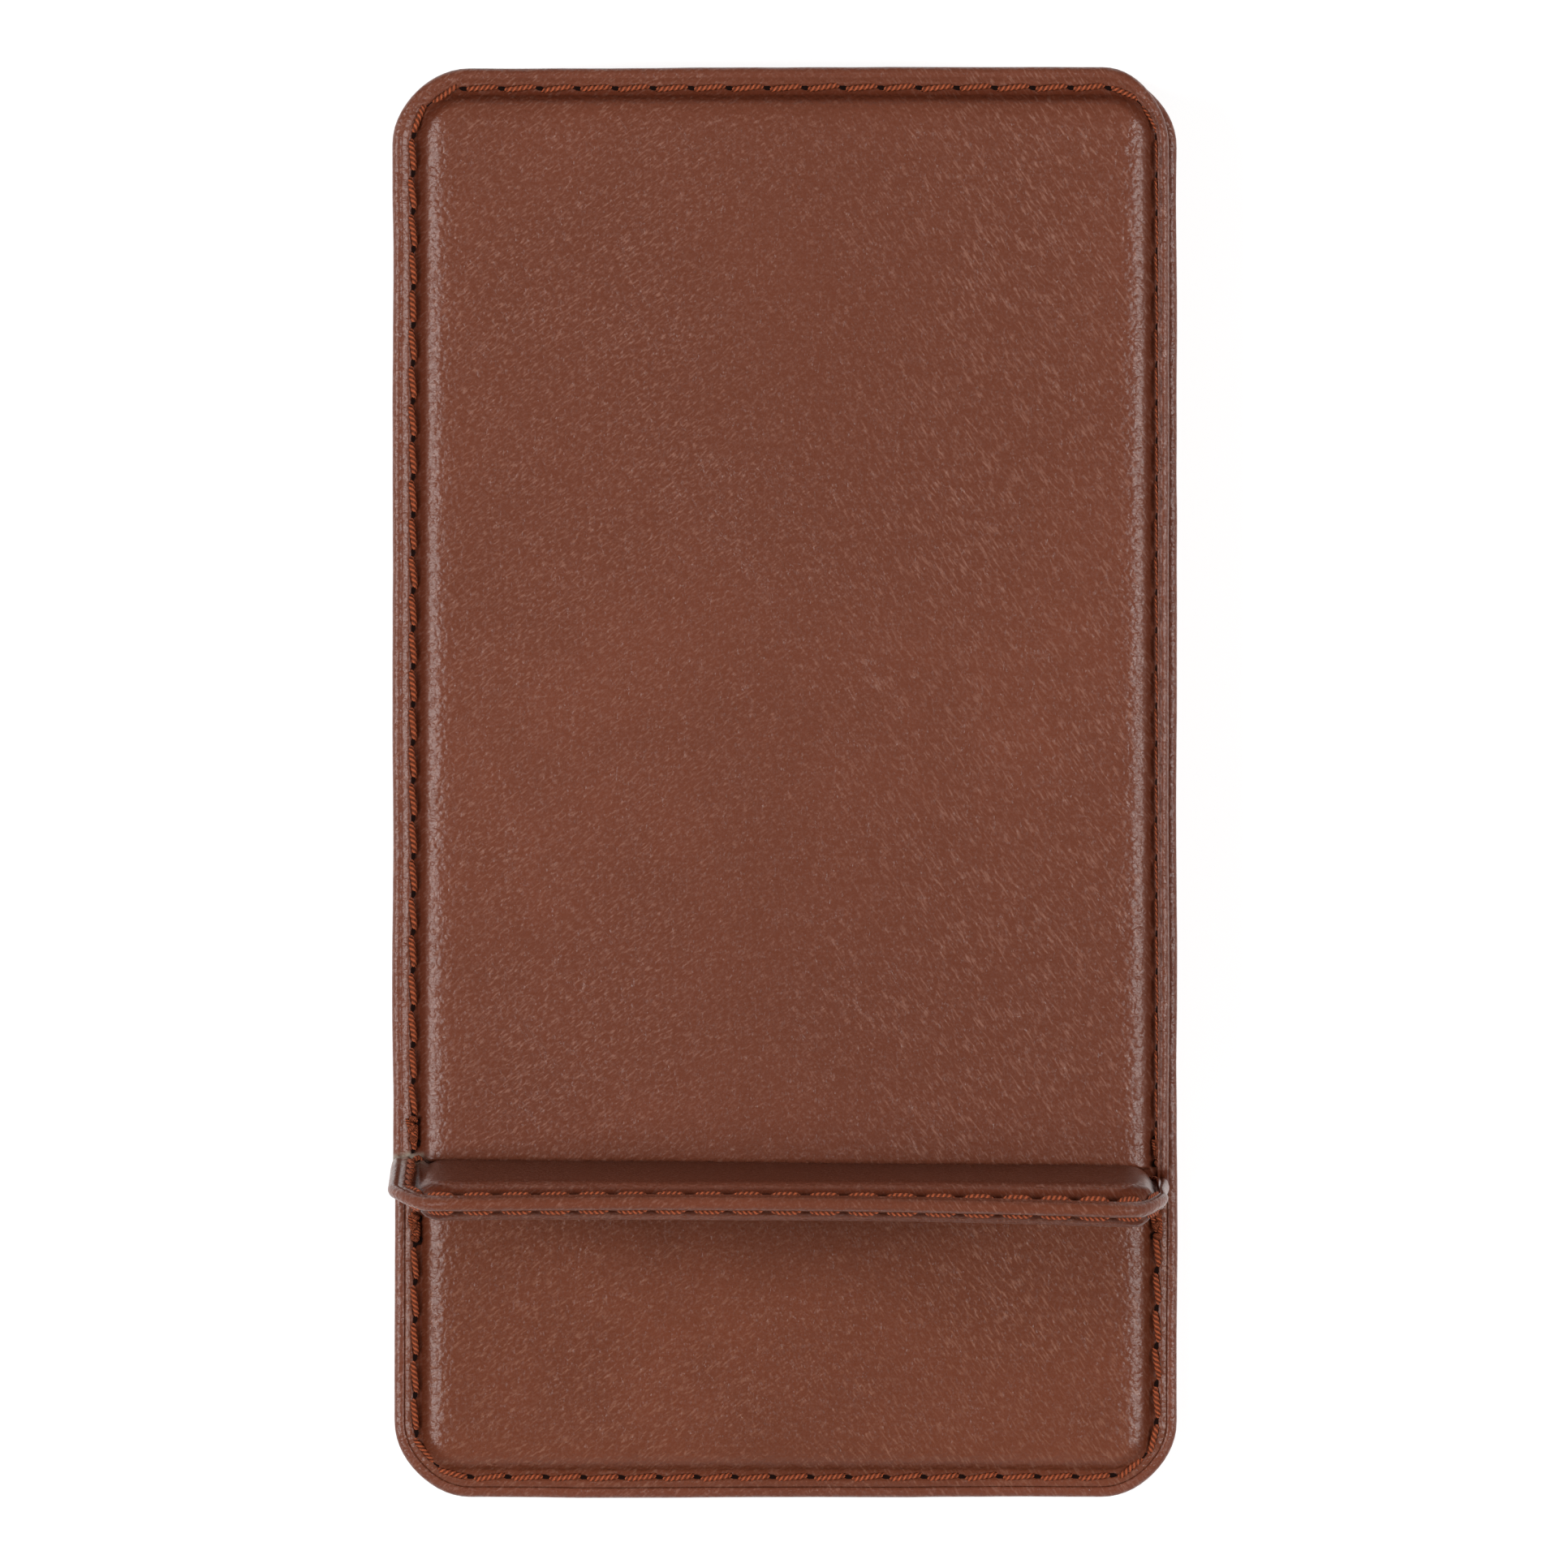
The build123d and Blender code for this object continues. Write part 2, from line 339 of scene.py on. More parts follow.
def cut_lines(bm, columns, rows):
    """Cuts a mesh along lines up and down the case, then along lines across it."""
    lines = [((x, 0, 0), (1, 0, 0)) for x in columns] + [((0, y, 0), (0, 1, 0)) for y in rows]
    for place, across in lines:
        everything = bm.verts[:] + bm.edges[:] + bm.faces[:]
        bmesh.ops.bisect_plane(bm, geom=everything, dist=1e-5, plane_co=place, plane_no=across)


def flat_pattern(box, rings, rows, columns):
    """Flat leather: a rounded outline, lines parallel to it, and rows and columns."""
    spread = -rings[0]
    left, right, low, high = box
    bm = bmesh.new()
    corners = [
        bm.verts.new((left - spread, low - spread, 0)),
        bm.verts.new((right + spread, low - spread, 0)),
        bm.verts.new((right + spread, high + spread, 0)),
        bm.verts.new((left - spread, high + spread, 0)),
    ]
    bm.faces.new(corners)
    bmesh.ops.bevel(
        bm,
        geom=corners,
        offset=CORNER + spread,
        segments=CORNER_STEPS,
        profile=0.5,
        affect="VERTICES",
        material=-1,
    )
    bm.faces.ensure_lookup_table()
    middle = bm.faces[0]
    for ring, next_ring in zip(rings, rings[1:]):
        step = next_ring - ring
        bmesh.ops.inset_region(bm, faces=[middle], thickness=step, use_even_offset=True, use_boundary=True)
    cut_lines(bm, columns, rows)
    return bm


def even_lines(low, high, step):
    count = max(1, round((high - low) / step))
    return [low + (high - low) * k / count for k in range(count + 1)]


def valley_rows():
    """Close rows across the fold and up the padding on both sides of it."""
    rows = [HINGE_Y + step * 0.12 for step in range(-11, 9)]
    rows += [HINGE_Y + FRONT_GAP + step / 4 for step, _ in SHOULDER]
    rows += [HINGE_Y - FLAP_GAP - step / 2 for step, _ in SHOULDER]
    rows += [HINGE_Y + 2.1, HINGE_Y + 2.6, HINGE_Y + 3.1, HINGE_Y - 3.1, HINGE_Y - 3.5]
    return rows


def cover_sheet(cover, edge, side):
    """One leather of a cover. side is 1 where it faces the front of the case."""
    left, right, low, high = CASE_BOX
    profile = edge + SEWN_BORDER
    rings = [row[0] for row in profile] + [RAISE_INSET + step for step, _ in SHOULDER[1:]]
    columns = even_lines(left + CORNER, right - CORNER, GRID)
    if cover is FRONT:
        rows = even_lines(low + CORNER, HINGE_Y - 4.0, GRID) + valley_rows()
        rows += even_lines(HINGE_Y + 3.6, high - CORNER, GRID)
    else:
        rows = even_lines(low + CORNER, high - CORNER, GRID)
    bm = flat_pattern(CASE_BOX, rings, rows, columns)
    bm.verts.layers.float.new("painted_shade")
    bm.verts.layers.float.new("matt")
    bm.verts.layers.float.new("painted_sheen")
    painted_shade, matt, painted_sheen = (bm.verts.layers.float[key] for key in ("painted_shade", "matt", "painted_sheen"))
    for vert in bm.verts:
        x, y = vert.co.x, vert.co.y
        depth, out_x, out_y = depth_in(x, y, CASE_BOX, CORNER, CORNER)
        inset, height = read_table(profile, depth)
        if depth < 0:
            x -= out_x * (inset - depth)
            y -= out_y * (inset - depth)
        height += RAISE_HEIGHT * raised_share(cover, x, y)
        vert.co = settle(cover, trimmed(cover, x, y, depth, out_x), y, height, side)
        # painted shade in the seam's furrow and at the foot of the padding, a quarter less on the right side
        vert[painted_shade] = read_table(FURROW_SHADE, depth)[0] * (1 - 0.25 * max(0.0, out_x))
        if cover is BACK:
            # less painted shade along the bottom edge, where more light falls
            vert[painted_shade] *= 1 - 0.6 * max(0.0, -out_y)
        else:
            along = y - HINGE_Y
            # painted shade in the fold at the hinge
            vert[painted_shade] = max(vert[painted_shade], 1 - smooth((abs(along) - 0.9) / 0.5))
            below = smooth((-along - 15) / 4) * max(0.0, -out_y)
            dull = 0.92 if side < 0 else 0.25
            vert[matt] = below * max(0.65 * (depth < 0.8), dull * (1 - smooth((depth - 3.2) / 1.0)))
            if side > 0:
                # painted shade on the flap's padded face, which faces away from the lamps
                face = smooth((-along - 1.2) / 1.0) * smooth((depth - 3.0) / 1.0)
                vert[painted_shade] = max(vert[painted_shade], FACE_SHADE * face)
            near = smooth((1.9 - along) / 1.0) * (1 - smooth((-along - 3.0) / 7.0))
            # painted sheen on the outer skin where the left border bends softly at the fold
            vert[painted_sheen] = near * smooth((-x - 27.7) / 1.2) * (side > 0)
            vert[matt] = max(vert[matt], 0.85 * near * smooth((x - 27.4) / 1.2))
        vert[matt] = max(vert[matt], min(1.0, 1.4 * vert[painted_shade]))
    if side < 0:
        bmesh.ops.reverse_faces(bm, faces=bm.faces)
    return bm


# ---------------------------------------------------------------- gusset
GUSSET_FOLD = [
    (1.05, 9.13),
    (1.45, 9.12),
    (1.78, 9.04),
    (1.98, 8.80),
    (2.08, 8.35),
    (2.22, 7.60),
    (2.44, 6.70),
    (2.62, 6.05),
    (2.68, 5.70),
    (2.62, 5.35),
    (2.44, 4.70),
    (2.22, 3.80),
    (2.08, 3.05),
    (1.98, 2.60),
    (1.78, 2.36),
    (1.45, 2.28),
    (1.05, 2.27),
]
GUSSET_MOUTH = HINGE_Y + 0.8
GUSSET_GRID = 1.4


def long_edges(bm, least):
    """The edges that climb by more than a least height."""
    return [e for e in bm.edges if abs(e.verts[0].co.z - e.verts[1].co.z) > least]


def gusset_sheet():
    """Folded ribbon round the three closed sides."""
    bm = bmesh.new()
    path = [
        (CASE_LEFT, GUSSET_MOUTH),
        (CASE_LEFT, CASE_HIGH),
        (CASE_RIGHT, CASE_HIGH),
        (CASE_RIGHT, GUSSET_MOUTH),
    ]
    line = [bm.verts.new((x, y, 0)) for x, y in path]
    edges = [bm.edges.new(pair) for pair in zip(line, line[1:])]
    raised = bmesh.ops.extrude_edge_only(bm, edges=edges)
    top = [item for item in raised["geom"] if isinstance(item, bmesh.types.BMVert)]
    bmesh.ops.translate(bm, vec=(0, 0, 1), verts=top)
    corners = [e for e in long_edges(bm, 0.5) if e.verts[0].co.y > 0]
    bmesh.ops.bevel(
        bm,
        geom=corners,
        offset=CORNER,
        segments=CORNER_STEPS,
        profile=0.5,
        affect="EDGES",
        material=-1,
    )
    bmesh.ops.subdivide_edges(bm, edges=long_edges(bm, 0.5), cuts=len(GUSSET_FOLD) - 2, use_grid_fill=True)
    columns = even_lines(CASE_LEFT + CORNER, CASE_RIGHT - CORNER, GUSSET_GRID)
    cut_lines(bm, columns, even_lines(GUSSET_MOUTH, CASE_HIGH - CORNER, GUSSET_GRID)[1:])
    for vert in bm.verts:
        row = round(vert.co.z * (len(GUSSET_FOLD) - 1))
        inset, z = GUSSET_FOLD[row]
        _, out_x, out_y = depth_in(vert.co.x, vert.co.y, CASE_BOX, 0.0, CORNER)
        sag = 0.12 * ripple(vert.co.x, vert.co.y, 6, 1.3) * math.sin(math.pi * row / (len(GUSSET_FOLD) - 1))
        vert.co = Vector((vert.co.x - out_x * (inset + sag), vert.co.y - out_y * (inset + sag), z))
    bmesh.ops.recalc_face_normals(bm, faces=bm.faces)
    wall = max(bm.faces, key=lambda face: face.calc_center_median().x + (abs(face.normal.x) > 0.9) * 100)
    if wall.normal.x < 0:
        bmesh.ops.reverse_faces(bm, faces=bm.faces)
    return bm


# ---------------------------------------------------------------- sewing
STITCH = 2.84
THREAD = 0.235              # its radius
TWIST = 0.42                # length of one turn of its strands
LEAN, LEAN_VARIES = -7, 5   # degrees that a stitch leans off the seam, and how that wanders
HOLE, HOLE_STRETCH = 0.21, 1.75      # a needle hole's half width, and how much longer it is
HOLE_TURN = 20              # degrees that it is turned off the seam
HOLE_HEIGHT = 0.535         # over the cover's middle
SURFACE = 0.65              # height of a stitch's centre line over the cover's middle
UNDER_LIFT = 0.10           # and how much higher it lies on the flap's under side


def one_stitch():
    """One stitch along X, dipping into the leather at both ends, with a twist map."""
    bm = bmesh.new()
    bmesh.ops.create_cone(bm, cap_ends=True, segments=6, radius1=THREAD, radius2=THREAD, depth=STITCH)
    bmesh.ops.subdivide_edges(bm, edges=long_edges(bm, 1), cuts=7, use_grid_fill=True)
    twist_map = bm.loops.layers.uv.new("twist")
    for face in bm.faces:
        turns = [math.atan2(loop.vert.co.y, loop.vert.co.x) / math.tau + 0.5 for loop in face.loops]
        if max(turns) - min(turns) > 0.5:
            turns = [turn + 1 if turn < 0.5 else turn for turn in turns]
        for loop, turn in zip(face.loops, turns):
            loop[twist_map].uv = (turn, loop.vert.co.z)
    bmesh.ops.rotate(bm, verts=bm.verts, cent=(0, 0, 0), matrix=Matrix.Rotation(math.pi / 2, 3, "Y"))
    for vert in bm.verts:
        share = abs(vert.co.x) / (STITCH / 2)
        waist = 1 - 0.35 * share ** 4
        vert.co.y *= waist
        vert.co.z = vert.co.z * waist * 0.9 - 0.42 * share ** 5
    mesh = bpy.data.meshes.new("stitch")
    bm.to_mesh(mesh)
    bm.free()
    return mesh


def seam_line(box, closed):
    """Points round a rounded outline, clockwise. Where a side is left open, they start beside it."""
    left, right, low, high = box
    radius = CORNER - SEAM_INSET
    bm = bmesh.new()
    corners = [bm.verts.new((x, y, 0)) for x, y in ((left, low), (left, high), (right, high), (right, low))]
    bm.faces.new(corners)
    rounded = corners if closed == "all" else [v for v in corners if (v.co.y > 0) == (closed == "high")]
    bmesh.ops.bevel(
        bm,
        geom=rounded,
        offset=radius,
        segments=12,
        profile=0.5,
        affect="VERTICES",
        material=-1,
    )
    bm.faces.ensure_lookup_table()
    points = [v.co.copy() for v in bm.faces[0].verts]
    bm.free()
    if closed != "all":
        gap = low if closed == "high" else high
        for k, point in enumerate(points):
            if abs(point.y - gap) + abs(points[k - 1].y - gap) < 1e-4:
                points = points[k:] + points[:k]
                break
    return points


def walk(points, closed):
    """Stitch centres and needle holes along a line of points, one pitch apart."""
    if closed:
        points = points + [points[0]]
    lengths = [0.0]
    for a, b in zip(points, points[1:]):
        lengths.append(lengths[-1] + (b - a).length)
    count = round(lengths[-1] / PITCH)
    found = []
    for step in range(2 * count + (0 if closed else 1)):
        along = lengths[-1] * step / (2 * count)
        k = max(i for i in range(len(points) - 1) if lengths[i] <= along + 1e-9)
        way = (points[k + 1] - points[k]).normalized()
        found.append((points[k] + way * (along - lengths[k]), way))
    return found[1::2], found[0::2]


def lay(cover, x, y, height, side):
    """Places a point of a thread or a hole, which follows a trimmed edge."""
    depth, out_x, _ = depth_in(x, y, CASE_BOX, CORNER, CORNER)
    return settle(cover, trimmed(cover, x, y, depth, out_x), y, height, side)


def knot(x, y):
    """Threads tied off over a seam: a doubled stitch, short turns across it and open holes, drawn as discs
    of painted shade.
    """
    up = Vector((0, 1, 0))
    stitches = [
        (Vector((x - 0.24, y + 0.3, 0)), up, 0.14, 0.62, 0.80, 0.08),
        (Vector((x + 0.22, y - 0.2, 0)), up, -0.16, 0.58, 0.80, 0.06),
        (Vector((x + 0.02, y + 0.9, 0)), up, 1.1, 0.26, 0.95, 0.22),
        (Vector((x - 0.04, y + 0.1, 0)), up, -1.0, 0.28, 0.90, 0.24),
        (Vector((x, y - 0.8, 0)), up, 0.9, 0.24, 0.90, 0.20),
    ]
    openings = [(-0.36, 1.1), (0.34, 0.7), (-0.3, -0.75), (0.38, -0.95), (0.02, 1.55)]
    return stitches, [(Vector((x + a, y + b, 0)), up) for a, b in openings]


def tie_off(spots, holes, *places):
    for x, y in places:
        stitches, openings = knot(x, y)
        spots += stitches
        holes += openings


def sew(cover, spots, holes, side, surface, seed):
    """Threads, and needle holes drawn as discs of painted shade, laid on one face of a cover."""
    threads = bmesh.new()
    pattern = one_stitch()
    for number, (spot, way, *tied) in enumerate(spots):
        extra_turn, length, girth, rise = tied or (0.0, 1.0, 1.0, 0.0)
        before = set(threads.verts)
        threads.from_mesh(pattern)
        fresh = [v for v in threads.verts if v not in before]
        lean = math.radians(LEAN + LEAN_VARIES * noise.noise(Vector((number * 1.7, seed, 0)))) * side
        turn = math.atan2(way.y, way.x) - lean + extra_turn
        shift = 0.05 * noise.noise(Vector((number * 2.3, seed, 4)))
        for vert in fresh:
            local = Vector((vert.co.x * length, vert.co.y * girth, vert.co.z * girth + rise))
            x = spot.x + local.x * math.cos(turn) - (local.y + shift) * math.sin(turn)
            y = spot.y + local.x * math.sin(turn) + (local.y + shift) * math.cos(turn)
            vert.co = lay(cover, x, y, surface + local.z, side)
        if side < 0:
            bmesh.ops.reverse_faces(threads, faces=[f for f in threads.faces if f.verts[0] in set(fresh)])
    bpy.data.meshes.remove(pattern)
    pits = bmesh.new()
    for spot, way in holes:
        made = bmesh.ops.create_circle(pits, cap_ends=True, segments=8, radius=HOLE)
        turn = math.atan2(way.y, way.x) - math.radians(HOLE_TURN) * side
        for vert in made["verts"]:
            local = Vector((vert.co.x * HOLE_STRETCH, vert.co.y, 0))
            x = spot.x + local.x * math.cos(turn) - local.y * math.sin(turn)
            y = spot.y + local.x * math.sin(turn) + local.y * math.cos(turn)
            vert.co = lay(cover, x, y, HOLE_HEIGHT, side)
    if side < 0:
        bmesh.ops.reverse_faces(pits, faces=pits.faces)
    return threads, pits


def join(first, second):
    """Adds one bmesh to another."""
    mesh = bpy.data.meshes.new("join")
    second.to_mesh(mesh)
    second.free()
    first.from_mesh(mesh)
    bpy.data.meshes.remove(mesh)
    return first


# ---------------------------------------------------------------- materials
def shader(name):
    material = bpy.data.materials.new(name)
    material.use_nodes = True
    tree = material.node_tree
    return material, tree, tree.nodes["Principled BSDF"]


def node(tree, kind, **values):
    """A new node, with its inputs set by name."""
    made = tree.nodes.new(kind)
    for key, value in values.items():
        made.inputs[key.replace("_", " ")].default_value = value
    return made


def mapped(tree, stretch, turn=0.0):
    """Object coordinates, for a pattern stretched along X, Y and Z and then turned."""
    where = tree.nodes.new("ShaderNodeTexCoord")
    mapping = node(tree, "ShaderNodeMapping", Scale=stretch, Rotation=(0, 0, turn))
    mapping.vector_type = "TEXTURE"
    tree.links.new(where.outputs["Object"], mapping.inputs["Vector"])
    return mapping.outputs["Vector"]


def grain(tree, where, size, detail, rough=0.55, warp=0.0):
    scale = 1 / (size * MM)
    made = node(tree, "ShaderNodeTexNoise", Scale=scale, Detail=detail, Roughness=rough, Distortion=warp)
    tree.links.new(where, made.inputs["Vector"])
    return made.outputs["Fac"]


def spread(tree, value, low, high, to_low=0.0, to_high=1.0):
    made = node(tree, "ShaderNodeMapRange", From_Min=low, From_Max=high, To_Min=to_low, To_Max=to_high)
    tree.links.new(value, made.inputs["Value"])
    return made.outputs["Result"]


def math_node(tree, operation, a, b=0.0):
    """A sum or other step on two values, either of which may be a plain number."""
    made = tree.nodes.new("ShaderNodeMath")
    made.operation = operation
    for socket, value in zip(made.inputs, (a, b)):
        if isinstance(value, (int, float)):
            socket.default_value = value
        else:
            tree.links.new(value, socket)
    return made.outputs["Value"]


def off_middle(tree, value):
    """How far a pattern's value is from its middle, to draw thin lines where it crosses it."""
    return math_node(tree, "ABSOLUTE", math_node(tree, "SUBTRACT", value, 0.5))


def blend_colour(tree, share, first, second):
    made = tree.nodes.new("ShaderNodeMix")
    made.data_type = "RGBA"
    factor = made.inputs[0]
    first_socket, second_socket = [s for s in made.inputs if s.type == "RGBA"]
    for socket, value in ((factor, share), (first_socket, first), (second_socket, second)):
        if isinstance(value, (int, float)):
            socket.default_value = value
        elif isinstance(value, tuple):
            socket.default_value = (*value, 1.0)
        else:
            tree.links.new(value, socket)
    return [s for s in made.outputs if s.type == "RGBA"][0]


def blend_values(tree, share, first, second):
    made = tree.nodes.new("ShaderNodeMix")
    for socket, value in zip(made.inputs, (share, None, first, second)):
        if value is not None:
            tree.links.new(value, socket)
    return made.outputs[0]


def attribute(tree, name):
    made = tree.nodes.new("ShaderNodeAttribute")
    made.attribute_name = name
    return made.outputs["Fac"]


def relief(tree, height, depth, below=None):
    made = node(tree, "ShaderNodeBump", Strength=1.0, Distance=depth * MM)
    tree.links.new(height, made.inputs["Height"])
    if below is not None:
        tree.links.new(below, made.inputs["Normal"])
    return made.outputs["Normal"]


PEBBLE = 0.44               # size of the leather's grain


def leather_material(name, light, dark, grain_depth, roughness):
    """Pebbled, lightly creased leather, puckered along the padding's long sides, with painted glints,
    painted shade and a painted sheen.
    """
    material, tree, surface = shader(name)
    links = tree.links
    plain = mapped(tree, (1, 1, 1))
    pebble = tree.nodes.new("ShaderNodeTexVoronoi")
    pebble.feature = "SMOOTH_F1"
    pebble.inputs["Scale"].default_value = 1 / (PEBBLE * MM)
    pebble.inputs["Smoothness"].default_value = 0.35
    warp = grain(tree, plain, 0.9, 3)
    bent = tree.nodes.new("ShaderNodeVectorMath")
    bent.operation = "MULTIPLY_ADD"
    links.new(warp, bent.inputs[0])
    bent.inputs[1].default_value = (0.0004, 0.0004, 0.0004)
    links.new(plain, bent.inputs[2])
    links.new(bent.outputs["Vector"], pebble.inputs["Vector"])
    pebbles = math_node(tree, "SUBTRACT", 1.0, pebble.outputs["Distance"])
    fine = grain(tree, plain, 0.24, 3, 0.5)
    mottle = grain(tree, plain, 9.0, 5, 0.6)
    cloud = grain(tree, plain, 32.0, 2)
    # creases: thin and faint, in two directions, and only here and there
    crease_a = grain(tree, mapped(tree, (1.0, 6.0, 6.0), math.radians(-8)), 2.0, 4, 0.6, 0.3)
    crease_b = grain(tree, mapped(tree, (1.0, 5.0, 5.0), math.radians(36)), 1.5, 4, 0.6, 0.3)
    here = spread(tree, grain(tree, plain, 14.0, 3, 0.6), 0.40, 0.66)
    lines_a = spread(tree, off_middle(tree, crease_a), 0.0, 0.04)
    lines_b = spread(tree, off_middle(tree, crease_b), 0.0, 0.03)
    lines_a = math_node(tree, "MULTIPLY", lines_a, math_node(tree, "SUBTRACT", 1.2, here))
    lines_b = math_node(tree, "MULTIPLY", lines_b, here)
    where = tree.nodes.new("ShaderNodeTexCoord")
    parts = tree.nodes.new("ShaderNodeSeparateXYZ")
    links.new(where.outputs["Object"], parts.inputs["Vector"])
    # painted glints: short pale strokes, rising to the right on the left half and falling on the right
    rising = grain(tree, mapped(tree, (1.0, 3.6, 3.6), math.radians(-52)), 0.16, 2)
    falling = grain(tree, mapped(tree, (1.0, 5.0, 5.0), math.radians(34)), 0.17, 2)
    to_right = spread(tree, parts.outputs["X"], -0.010, 0.014)
    glint_strokes = spread(tree, blend_values(tree, to_right, rising, falling), 0.53, 0.72)
    glint_strokes = math_node(tree, "MULTIPLY", glint_strokes, spread(tree, here, 0.0, 1.0, 0.68, 1.04))
    # puckers across the long edges of the padding
    puckers = grain(tree, mapped(tree, (5.0, 1.0, 1.0)), 0.36, 3, 0.6)
    across = math_node(tree, "ABSOLUTE", parts.outputs["X"])
    rim = spread(tree, across, 0.0258, 0.0280)
    pucker = math_node(tree, "MULTIPLY", puckers, rim)
    normal = relief(tree, pebbles, grain_depth)
    normal = relief(tree, fine, grain_depth * 0.6, normal)
    normal = relief(tree, lines_a, 0.005, normal)
    normal = relief(tree, lines_b, 0.010, normal)
    normal = relief(tree, pucker, 0.045, normal)
    links.new(normal, surface.inputs["Normal"])
    tone = blend_colour(tree, spread(tree, mottle, 0.38, 0.62), dark, light)
    tone = blend_colour(tree, spread(tree, cloud, 0.38, 0.62), tone, tuple(c * 0.96 for c in dark))
    between = spread(tree, pebbles, 0.75, 0.45, 0.0, 0.05)
    tone = blend_colour(tree, between, tone, tuple(c * 0.50 for c in dark))
    # painted glints: pale specks scattered over the grain
    glint_specks = spread(tree, grain(tree, plain, 0.24, 2, 0.5), 0.57, 0.74, 0.0, 0.30)
    pale = tuple(c * k for c, k in zip(light, (1.5, 2.3, 3.0)))
    tone = blend_colour(tree, glint_specks, tone, pale)
    tone = blend_colour(tree, glint_strokes, tone, pale)
    # painted shade: the seam's furrow, the foot of the padding, the fold and the flap's face go towards a
    # deep red-brown
    shade = math_node(tree, "MULTIPLY", attribute(tree, "painted_shade"), 0.6)
    tone = blend_colour(tree, shade, tone, (dark[0] * 0.32, dark[1] * 0.13, dark[2] * 0.04))
    # painted sheen: a pale grey patch where the left border bends softly
    patches = spread(tree, grain(tree, plain, 1.4, 4, 0.6), 0.36, 0.60)
    patchy = math_node(tree, "MULTIPLY", attribute(tree, "painted_sheen"), patches)
    tone = blend_colour(tree, math_node(tree, "MULTIPLY", patchy, 0.65), tone, (0.36, 0.33, 0.27))
    links.new(tone, surface.inputs["Base Color"])
    links.new(spread(tree, fine, 0.3, 0.7, roughness - 0.05, roughness + 0.06), surface.inputs["Roughness"])
    sheen = spread(tree, attribute(tree, "matt"), 0.0, 1.0, 0.28, 0.02)
    links.new(sheen, surface.inputs["Specular IOR Level"])
    return material


def thread_material(name, light, dark):
    material, tree, surface = shader(name)
    links = tree.links
    twist = tree.nodes.new("ShaderNodeUVMap")
    twist.uv_map = "twist"
    parts = tree.nodes.new("ShaderNodeSeparateXYZ")
    links.new(twist.outputs["UV"], parts.inputs["Vector"])
    round_thread = math_node(tree, "MULTIPLY", parts.outputs["X"], 2.0)
    along_thread = math_node(tree, "DIVIDE", parts.outputs["Y"], TWIST)
    phase = math_node(tree, "ADD", round_thread, along_thread)
    wave = math_node(tree, "COSINE", math_node(tree, "MULTIPLY", phase, math.tau))
    strand = spread(tree, wave, -1.0, 1.0)
    fibre = grain(tree, mapped(tree, (1, 1, 1)), 0.12, 4)
    normal = relief(tree, strand, 0.13)
    normal = relief(tree, fibre, 0.03, normal)
    links.new(normal, surface.inputs["Normal"])
    # strands in the thread's colour, with painted shade in the gaps between them
    tone = blend_colour(tree, strand, dark, light)
    tone = blend_colour(tree, spread(tree, fibre, 0.35, 0.7, 0.0, 0.5), tone, tuple(c * 0.7 for c in light))
    links.new(tone, surface.inputs["Base Color"])
    surface.inputs["Roughness"].default_value = 0.7
    surface.inputs["Specular IOR Level"].default_value = 0.15
    return material


def plain_material(name, first, second, size, roughness, depth=0.02, metallic=0.0):
    """Hidden layers: a mottled colour with a fine relief."""
    material, tree, surface = shader(name)
    plain = mapped(tree, (1, 1, 1))
    mottle = grain(tree, plain, size, 5)
    tone = blend_colour(tree, spread(tree, mottle, 0.3, 0.7), first, second)
    tree.links.new(tone, surface.inputs["Base Color"])
    tree.links.new(relief(tree, mottle, depth), surface.inputs["Normal"])
    surface.inputs["Roughness"].default_value = roughness
    surface.inputs["Metallic"].default_value = metallic
    return material


OUTER_LIGHT, OUTER_DARK = (0.149, 0.0425, 0.0225), (0.1335, 0.0381, 0.0201)
LINING_LIGHT, LINING_DARK = (0.141, 0.0388, 0.0188), (0.125, 0.0346, 0.0168)
GUSSET_LIGHT, GUSSET_DARK = (0.130, 0.034, 0.0170), (0.100, 0.026, 0.0130)
# the thread's orange on the strands' tops, and near-black painted shade for the gaps between strands
THREAD_LIGHT, THREAD_GAP_SHADE = (0.42, 0.096, 0.036), (0.024, 0.005, 0.002)
LEATHER_RELIEF, LEATHER_ROUGHNESS = 0.064, 0.30
GUSSET_RELIEF, GUSSET_ROUGHNESS = 0.030, 0.50
outer_leather = leather_material(
    "brown_leather", OUTER_LIGHT, OUTER_DARK, LEATHER_RELIEF, LEATHER_ROUGHNESS
)
lining_leather = leather_material(
    "brown_lining", LINING_LIGHT, LINING_DARK, LEATHER_RELIEF, LEATHER_ROUGHNESS
)
gusset_leather = leather_material(
    "brown_gusset", GUSSET_LIGHT, GUSSET_DARK, GUSSET_RELIEF, GUSSET_ROUGHNESS
)
sewing_thread = thread_material("orange_brown_thread", THREAD_LIGHT, THREAD_GAP_SHADE)
# near-black discs of painted shade where the needle holes are
hole_shade = plain_material("needle_hole", (0.006, 0.0025, 0.002), (0.010, 0.004, 0.003), 0.2, 1.0)
hole_shade.node_tree.nodes["Principled BSDF"].inputs["Specular IOR Level"].default_value = 0.05
foam = plain_material("foam", (0.55, 0.53, 0.48), (0.42, 0.40, 0.36), 0.6, 0.9, 0.1)
board = plain_material("greyboard", (0.32, 0.29, 0.25), (0.24, 0.22, 0.19), 0.8, 0.85, 0.03)
steel = plain_material("magnet_plating", (0.55, 0.55, 0.56), (0.45, 0.45, 0.47), 1.5, 0.32, 0.004, 1.0)

# ---------------------------------------------------------------- pieces
LEATHER_WALL, GUSSET_WALL = 0.28, 0.3

